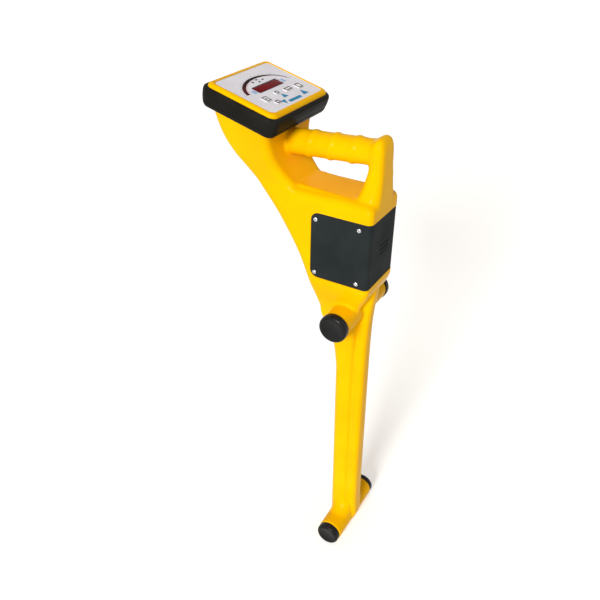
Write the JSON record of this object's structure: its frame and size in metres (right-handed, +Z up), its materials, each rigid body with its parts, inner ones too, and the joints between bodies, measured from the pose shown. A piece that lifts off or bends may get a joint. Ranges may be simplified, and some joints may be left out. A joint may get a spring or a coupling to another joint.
{
  "type": "cable locator",
  "caption": "Hand-held cable locator: hollow yellow wand with transverse antenna tubes at foot and waist, screwed rear battery cover, closed hand grip and tilted display head with press keys.",
  "frame": {"origin": "lowest point of the lower antenna tube, under the middle of the column, where the foot meets the ground", "axes": "+Z up, from the foot to the head; +Y away from the user, the way the neck leans; +X to the user's right, along the antenna tubes"},
  "size_m": [0.1364, 0.2135, 0.6723],
  "materials": {
    "body_yellow": "glossy moulded yellow plastic",
    "head_black": "fine matt texture",
    "bumper_rubber": "satin moulded rubber",
    "seal_rubber": "matt rubber",
    "screw_steel": "bright plated steel",
    "label_film": "printed pale film, satin",
    "window_red": "dark red tinted window",
    "meter_dark": "dark tinted window",
    "display_black": "matt black",
    "lamp_red": "clear red",
    "board_green": "solder mask",
    "pillar_brass": "plain turned",
    "key_pale": "satin keycap",
    "cover_black": "fine textured satin",
    "speaker_metal": "dull pressed steel",
    "inner_plastic": "plain moulded",
    "cell_wrap": "plain wrap",
    "ferrite": "ground ferrite",
    "coil_wire": "enamelled wire",
    "support_plastic": "plain moulded",
    "cap_black": "glossy moulded",
    "lead_jacket": "plain cable jacket"
  },
  "bodies": {
    "locator": {"body_moulding": "body_yellow", "head_bezel": "body_yellow", "head_tray": "head_black", "head_bumper": "bumper_rubber", "bezel_seal": "seal_rubber", "cap_seals": "seal_rubber", "bezel_screws": "screw_steel", "board_screws": "screw_steel", "cover_screws": "screw_steel", "panel_overlay": "label_film", "display_window": "window_red", "meter_window": "meter_dark", "display_module": "display_black", "key_switches": "display_black", "meter_lamps": "lamp_red", "main_board": "board_green", "board_pillars": "pillar_brass", "battery_contacts": "pillar_brass", "rear_cover": "cover_black", "speaker": "speaker_metal", "speaker_clamp": "inner_plastic", "battery_holder": "inner_plastic", "battery_cells": "cell_wrap", "upper_ferrite_rod": "ferrite", "lower_ferrite_rod": "ferrite", "upper_coil": "coil_wire", "lower_coil": "coil_wire", "upper_rod_supports": "support_plastic", "lower_rod_supports": "support_plastic", "upper_cap_left": "cap_black", "upper_cap_right": "cap_black", "lower_cap_left": "cap_black", "lower_cap_right": "cap_black", "antenna_lead": "lead_jacket"},
    "power_key": {"power_key": "key_pale"},
    "gain_up_key": {"gain_up_key": "key_pale"},
    "gain_down_key": {"gain_down_key": "key_pale"},
    "mode_key": {"mode_key": "key_pale"},
    "frequency_key": {"frequency_key": "key_pale"}
  },
  "joints": [
    {"name": "power_press", "type": "slide", "parent": "locator", "child": "power_key", "axis": [0, 0.2622, -0.965], "range_m": [0, 0.0005], "stiffness_N_per_m": 2000},
    {"name": "gain_up_press", "type": "slide", "parent": "locator", "child": "gain_up_key", "axis": [0, 0.2622, -0.965], "range_m": [0, 0.0005], "stiffness_N_per_m": 2000},
    {"name": "gain_down_press", "type": "slide", "parent": "locator", "child": "gain_down_key", "axis": [0, 0.2622, -0.965], "range_m": [0, 0.0005], "stiffness_N_per_m": 2000},
    {"name": "mode_press", "type": "slide", "parent": "locator", "child": "mode_key", "axis": [0, 0.2622, -0.965], "range_m": [0, 0.0005], "stiffness_N_per_m": 2000},
    {"name": "frequency_press", "type": "slide", "parent": "locator", "child": "frequency_key", "axis": [0, 0.2622, -0.965], "range_m": [0, 0.0005], "stiffness_N_per_m": 2000}
  ]
}
